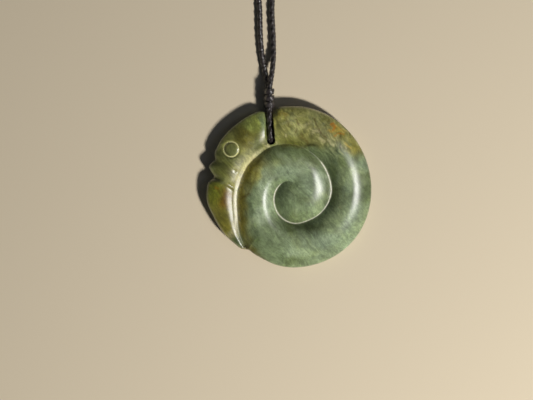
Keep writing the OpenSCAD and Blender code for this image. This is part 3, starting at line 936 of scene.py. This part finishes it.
# Drawn lines: half width, strength, points.
RUST_LINES = [
    (0.3, 1.0, [(13.9, 20.7), (14.6, 21.0), (15.2, 20.1), (14.9, 19.2), (14.5, 18.6)]),
    (0.2, 0.8, [(14.3, 20.4), (14.7, 19.5)]),
    (0.2, 0.8, [(15.2, 16.8), (15.9, 17.4), (17.1, 17.6), (18.2, 17.3)]),
    (0.35, 0.4, [(-24.6, -0.4), (-23.8, -0.8)]),
]
GOLD_LINES = [
    (0.35, 0.5, [(13.1, 18.5), (14.4, 18.0), (15.9, 18.5), (17.4, 18.9)]),
    (0.5, 0.45, [(15.6, 20.2), (16.6, 19.2), (18.4, 18.2)]),
    (0.35, 0.4, [(18.6, 14.4), (19.6, 13.2), (20.6, 12.8)]),
    (0.7, 0.3, [(-3.4, 24.2), (-2.2, 24.4), (-1.2, 23.8)]),
]
PALE_LINES = [
    (0.35, 0.3, [(2.9, 23.2), (4.9, 23.7)]),
    (0.45, 0.3, [(3.2, 20.7), (4.7, 19.8), (7.1, 21.3)]),
    (0.5, 0.35, [(7.7, 17.6), (8.4, 18.7), (9.8, 18.2)]),
    (0.4, 0.55, [(10.3, 15.9), (11.6, 14.7)]),
    (0.35, 0.65, [(12.9, 15.2), (14.5, 13.6)]),
    (0.3, 0.5, [(17.2, 13.5), (17.4, 13.0)]),
    (0.3, 0.5, [(18.7, 12.9), (18.9, 12.5)]),
    (0.3, 0.5, [(-1.1, 17.2), (-1.0, 16.8)]),
    (0.4, 0.3, [(0.6, 21.2), (0.9, 20.8)]),
    (0.3, 0.5, [(-4.2, 14.5), (-4.1, 14.2)]),
    (0.25, 0.8, [(-7.9, 13.4), (-7.0, 13.2), (-6.2, 12.8)]),
    (0.2, 0.7, [(-7.3, 14.1), (-6.9, 13.7)]),
    (0.3, 0.3, [(16.6, -7.0), (17.0, -7.1)]),
    # a painted highlight: a soft pale halo on the slot's left shoulder
    (0.9, 0.25, [(-9.2, 17.0), (-8.7, 14.6)]),
]
CRACKS = [
    (
        0.28,
        1.0,
        [(8.5, 22.8), (8.5, 21.6), (9.1, 20.4), (9.8, 19.1), (10.4, 17.7), (11.9, 16.4), (12.4, 15.9)],
    ),
    (0.5, 0.6, [(4.1, 16.8), (4.7, 15.9), (5.6, 15.2), (6.2, 14.4)]),
    (0.22, 0.9, [(-0.8, 22.8), (-0.5, 21.3), (-0.3, 19.8)]),
    (0.35, 0.8, [(2.2, 22.3), (3.2, 20.4)]),
    (0.25, 0.9, [(2.4, 19.1), (2.2, 17.7)]),
    (0.3, 0.8, [(-24.0, -0.9), (-22.7, -2.6), (-22.1, -4.4)]),
    (0.25, 0.6, [(-12.6, 8.0), (-13.2, 5.4), (-13.0, 3.0)]),
    (0.5, 0.6, [(-9.7, 9.4), (-10.8, 7.0)]),
    (0.3, 0.5, [(-10.8, 7.0), (-11.4, 2.9), (-12.4, 0.4), (-14.0, -2.8)]),
    (0.5, 0.7, [(-13.6, -2.6), (-16.2, -4.3)]),
    (0.3, 0.8, [(12.7, 21.6), (14.0, 21.9)]),
]


def camera_colour(red, green, blue):
    """A colour as a camera sees it, from 0 to 255, as the light that the surface sends back."""
    return [((c / 255 + 0.055) / 1.055) ** 2.4 for c in (red, green, blue)]


def between(table, turn, column=1):
    """One column of a table at an angle between its rows, or 0 outside the table."""
    for low, high in zip(table, table[1:]):
        if low[0] <= turn <= high[0]:
            return low[column] + (high[column] - low[column]) * (turn - low[0]) / (high[0] - low[0])
    return 0.0


def paths(lines):
    """Drawn lines with their points joined in pairs."""
    return [
        (half_w, shown, [(Vector(a), Vector(b)) for a, b in zip(points, points[1:])])
        for half_w, shown, points in lines
    ]


def traced(p, lines):
    """How strongly the nearest of some drawn lines shows at a place."""
    return max(
        shown * bell(to_segment(p, a, b) / half_w)
        for half_w, shown, path in lines
        for a, b in path
    )


def strayed(p, layer, crowding, distance):
    """A place moved a little aside, so that what is drawn from it has no even edge.

    Blender seeds this noise by the clock and no seed is set here, so the stains, veins and drawn
    lines differ a little from run to run.
    """
    return p + noise.noise_vector(Vector((p.x, p.y, layer)) * crowding).xy * distance


def window(turn, start, rise, end, drop):
    """1 within a span of angles and 0 outside it, with soft ends."""
    return smooth((turn - start) / rise) * smooth((end - turn) / drop)


def laid_over(base, over, amount):
    """One colour laid over another by an amount."""
    return [b + (o - b) * amount for b, o in zip(base, over)]


def zone_tone(p):
    """The mean of all zones' colours at a place, where the nearest count most."""
    weights = []
    for across, up, half_w, half_h, _ in TONE_ZONES:
        apart = ((p.x - across) / half_w) ** 2 + ((p.y - up) / half_h) ** 2
        weights.append(1 / (ZONE_CORE + apart) ** 2)
    total = sum(weights)
    return [sum(w * c[k] for w, c in zip(weights, zone_colours)) / total for k in range(3)]


zone_colours = [camera_colour(*zone[4]) for zone in TONE_ZONES]
stain_colour = camera_colour(*AMBER)
gold_colour = camera_colour(*GOLD_VEIN)
strip_colour = camera_colour(*STRIP_CREAM)
vein_colour = camera_colour(*PALE_VEIN)
fibre_run = Vector((math.cos(FIBRE_TURN), math.sin(FIBRE_TURN)))
across_fibre = Vector((-fibre_run.y, fibre_run.x))
rust_paths, gold_paths, pale_paths, crack_paths = map(paths, (RUST_LINES, GOLD_LINES, PALE_LINES, CRACKS))
tones = []
marks = []
brights = []
for vertex in stone.data.vertices:
    p = Vector((vertex.co.x, vertex.co.y)) / MM
    q = strayed(p, *ZONES_STRAY)
    wander = strayed(p, *LINES_STRAY)
    mixed = zone_tone(q)

    ray = p - COIL_CENTRE
    turn = math.degrees(math.atan2(ray.y, ray.x)) % 360
    line = 0.0
    for pass_turn in (turn, turn - 360):
        groove = groove_at(pass_turn)
        if groove is not None:
            near = bell((ray.length - groove.radius) / LINE_HALF_W)
            line = max(line, near * between(LINE_SHOWS, pass_turn))
    outer = groove_at(turn)
    if outer is not None:
        # The amber is lighter than the stain itself: painted light that offsets the shade on the groove's
        # inner wall.
        inside = outer.radius - (q - COIL_CENTRE).length
        beside = smooth(STAIN_FADE - inside / STAIN_W) * smooth(STAIN_EDGE + inside)
        mixed = laid_over(mixed, stain_colour, STAIN * window(turn, *STAIN_SPAN) * beside)
        outside = ray.length - outer.radius
        # Painted light: the strip is a painted reflection of the bevel and the wash a painted highlight;
        # further  down the jaw the strip turns into a white painted highlight carried in the groove's line.
        on_head = smooth(HEAD_EDGE + outside / HEAD_EDGE_W)
        strip = on_head * between(HEAD_STRIP, turn)
        if strip > 0:
            strip *= bell((outside - between(HEAD_STRIP, turn, 2)) / between(HEAD_STRIP, turn, 3))
        wash = WASH * on_head * bell(outside / WASH_W) * window(turn, *WASH_SPAN)
        white_glint = smooth((turn - WHITE_GLINT_FROM) / WHITE_GLINT_OVER)
        mixed = laid_over(mixed, strip_colour, max(wash, strip * (1 - white_glint)))
        line = max(line, strip * white_glint)

    stone_turn = math.degrees(math.atan2(p.y, p.x)) % 360
    inset = outline(stone_turn) - p.length
    rind = window(stone_turn, *RIND_SPAN) * smooth((p.length - RIND_FROM) / RIND_OVER)
    vein_place = Vector((q.dot(fibre_run) / VEINS_LENGTH, q.dot(across_fibre) / VEINS_W, VEINS_LAYER))
    veins = rind * noise.fractal(vein_place, VEINS_SMOOTH, VEINS_FINER, VEINS_OCTAVES)
    if veins > 0:
        mixed = laid_over(mixed, vein_colour, PALE_VEINS * veins)
    else:
        mixed = [m * (1 + DARK_VEINS * veins) for m in mixed]
    mixed = laid_over(mixed, gold_colour, traced(wander, gold_paths))
    edged = window(stone_turn, *EDGE_SPAN)
    crack = max(
        traced(wander, crack_paths),
        EDGE_LINE_SHOWS * edged * bell((inset - EDGE_LINE) / EDGE_LINE_HALF_W),
        TIP_STAIN * window(stone_turn, *TIP_SPAN) * bell(inset / TIP_STAIN_W),
    )
    # bright holds pale veins and, as painted light, the painted reflection on the top edge, the painted
    # highlight along the rim and a painted halo beside the slot.
    bright = max(
        traced(wander, pale_paths),
        EDGE_STRIP * edged * smooth((EDGE_STRIP_IN - inset) / EDGE_STRIP_SOFT),
        RIM_LINE * window(stone_turn, *RIM_SPAN) * bell((inset - RIM_LINE_IN) / RIM_LINE_HALF_W),
    )
    ring = bell(((p - EYE_XY).length - EYE_R) / EYE_LINE_HALF_W)
    tones += [*mixed, 1]
    marks += [line, traced(wander, rust_paths), crack, ring]
    brights.append(bright)
stone.data.attributes.new("tone", "FLOAT_COLOR", "POINT").data.foreach_set("color", tones)
stone.data.attributes.new("marks", "FLOAT_COLOR", "POINT").data.foreach_set("color", marks)
stone.data.attributes.new("bright", "FLOAT", "POINT").data.foreach_set("value", brights)

# Nephrite is felted from fine fibres: they show as streaks that run down to the right, with cloudy
# light and dark patches. The polish is glassy but carries fine rubbing marks.
WARMER = (1.10, 1.02, 0.62)
MILKY = (0.36, 0.42, 0.31, 1)
RUST = (0.52, 0.19, 0.0, 1)
CRACK_BROWN = (0.085, 0.055, 0.004, 1)
CREAM = (0.62, 0.58, 0.33, 1)
# The groove's line is near white: its scratched floor is pale, and the painted highlight along it where it
# faces the light is brighter still.
PALE_FLOOR_AND_GLINT = (0.90, 0.90, 0.78, 1)
EYE_CREAM = (0.84, 0.84, 0.42, 1)

# The fibres' waves for each metre, how far they reach in metres, and the fibres' stretch.
WAVES = 70
WAVE_REACH = (0.008, 0.008, 0)
FIBRE_STRETCH = (3.5, 1.0, 1.6)

stone_look = bpy.data.materials.new("polished_greenstone")
stone_look.use_nodes = True
nodes = stone_look.node_tree.nodes
links = stone_look.node_tree.links
stone_shader = nodes["Principled BSDF"]
joined(stone_shader, "IOR", 1.61)
joined(stone_shader, "Subsurface Weight", 0.18)
joined(stone_shader, "Subsurface Radius", (0.8, 1.0, 0.5))
joined(stone_shader, "Subsurface Scale", 0.0012)
joined(stone_shader, "Coat Weight", 0.5)
joined(stone_shader, "Coat Roughness", 0.27)
joined(stone_shader, "Coat IOR", 1.6)


def worked(operation, a, b):
    """A step of arithmetic with two values."""
    result = nodes.new("ShaderNodeMath")
    result.operation = operation
    joined(result, 0, a)
    joined(result, 1, b)
    return result.outputs["Value"]


def vector_worked(operation, *values):
    """A step of vector arithmetic: its values in the order of the node's sockets."""
    step = nodes.new("ShaderNodeVectorMath")
    step.operation = operation
    for socket, value in enumerate(values):
        joined(step, socket, value)
    return step.outputs["Vector"]


def stored(name):
    """What the mesh carries under a name, at each of its points."""
    read = nodes.new("ShaderNodeAttribute")
    read.attribute_name = name
    return read


place = nodes.new("ShaderNodeTexCoord").outputs["Object"]
wave = nodes.new("ShaderNodeTexNoise")
joined(wave, "Scale", WAVES)
joined(wave, "Vector", place)
fibre_way = nodes.new("ShaderNodeMapping")
fibre_way.vector_type = "TEXTURE"
joined(fibre_way, "Rotation", (0, 0, FIBRE_TURN))
joined(fibre_way, "Scale", FIBRE_STRETCH)
joined(fibre_way, "Vector", vector_worked("MULTIPLY_ADD", wave.outputs["Color"], WAVE_REACH, place))
along_fibre = fibre_way.outputs["Vector"]

marks_read = stored("marks")
marks_split = nodes.new("ShaderNodeSeparateColor")
joined(marks_split, "Color", marks_read.outputs["Color"])
groove_line = marks_split.outputs["Red"]
rust_mark = marks_split.outputs["Green"]
crack_mark = marks_split.outputs["Blue"]
eye_line = marks_read.outputs["Alpha"]
pale_mark = stored("bright").outputs["Fac"]

clouds = clouded(place, 170, 5, 0.6)
patches = clouded(place, 95, 3, 1.0)
bands = clouded(along_fibre, 520, 4, 1.5)
streaks = clouded(along_fibre, 1900, 4, 0.8)
mottle = clouded(place, 1500, 3)
flecks = clouded(place, 620, 4, 0.4)

# pattern, from and to which of its values, the shade at each
shade = 1.0
for pattern, low, high, dark, light in (
    (clouds, 0.3, 0.7, 0.70, 1.30),
    (bands, 0.3, 0.7, 0.76, 1.24),
    (streaks, 0.3, 0.7, 0.76, 1.24),
    (mottle, 0.3, 0.7, 0.85, 1.15),
    (flecks, 0.2, 0.38, 0.6, 1.0),
):
    shade = worked("MULTIPLY", shade, ranged(pattern, low, high, dark, light))
shaded = nodes.new("ShaderNodeVectorMath")
shaded.operation = "SCALE"
joined(shaded, "Vector", stored("tone").outputs["Color"])
joined(shaded, "Scale", shade)
colour = shaded.outputs["Vector"]
colour = painted(ranged(patches, 0.48, 0.68, 0, 0.4), colour, vector_worked("MULTIPLY", colour, WARMER))
colour = painted(ranged(clouds, 0.55, 0.75, 0, 0.3), colour, MILKY)

# The pale mark's cream holds pale veins and painted light: the reflection on the top edge, the highlight
# along the rim and the halo beside the slot.
# mark, the pattern that breaks it up, how much is left where it is broken and where it is whole
for mark, broken_by, least, most, paint in (
    (crack_mark, flecks, 0.5, 0.95, CRACK_BROWN),
    (rust_mark, mottle, 0.7, 1.0, RUST),
    (pale_mark, mottle, 0.5, 1.0, CREAM),
):
    shown = worked("MULTIPLY", mark, ranged(broken_by, 0.35, 0.6, least, most))
    colour = painted(shown, colour, paint)
# The groove's line: its pale scratched floor and the painted highlight along it.
floor_and_glint = worked("MULTIPLY", ranged(groove_line, 0.05, 0.9, 0, 0.95), ranged(flecks, 0.3, 0.5, 0.65, 1))
colour = painted(floor_and_glint, colour, PALE_FLOOR_AND_GLINT)
colour = painted(ranged(eye_line, 0.2, 0.9, 0, 0.95), colour, EYE_CREAM)
joined(stone_shader, "Base Color", colour)

dulled = worked("ADD", ranged(streaks, 0.3, 0.7, 0.30, 0.42), ranged(groove_line, 0.1, 1, 0, 0.1))
joined(stone_shader, "Roughness", dulled)
rubbed = bumped(streaks, 0.25, 0.00003)
lip = bumped(groove_line, 1.0, 0.0001)
joined(lip, "Normal", rubbed.outputs["Normal"])
joined(stone_shader, "Normal", lip.outputs["Normal"])
stone.data.materials.append(stone_look)


# The studio. The photograph's shadows fall to the upper left, but its highlights lie on the slopes
# that face right, so one lamp lights the surfaces and another shows only in the polish.
# name, azimuth and elevation in degrees, distance, width and height in metres, watts, colour,
# whether it lights surfaces, whether it shows in the polish
LAMPS = [
    ("key", -43.0, 42.0, 0.8, 0.09, 0.09, 8.35, (1.0, 0.95, 0.86), True, False),
    ("gleam", 1.0, 54.0, 0.7, 0.22, 0.22, 3.2, (1.0, 0.98, 0.95), False, True),
]
SKY_COLOUR = (0.8, 0.88, 1.0, 1)
SKY_STRENGTH = 0.04

for name, azimuth, elevation, distance, width, height, watts, colour, diffuse, glossy in LAMPS:
    turn = math.radians(azimuth)
    rise = math.radians(elevation)
    level = math.cos(rise)
    towards = Vector((math.cos(turn) * level, math.sin(turn) * level, math.sin(rise)))
    bpy.ops.object.light_add(type="AREA", location=towards * distance)
    lamp = bpy.context.object
    lamp.name = name
    lamp.data.shape = "RECTANGLE"
    lamp.data.size = width
    lamp.data.size_y = height
    lamp.data.energy = watts
    lamp.data.color = colour
    lamp.visible_diffuse = diffuse
    lamp.visible_glossy = glossy
    lamp.rotation_euler = towards.to_track_quat("Z", "Y").to_euler()

surround = bpy.data.worlds.new("surround")
bpy.context.scene.world = surround
surround.use_nodes = True
sky = surround.node_tree.nodes["Background"]
sky.inputs["Color"].default_value = SKY_COLOUR
sky.inputs["Strength"].default_value = SKY_STRENGTH
bpy.context.scene.view_settings.view_transform = "Standard"
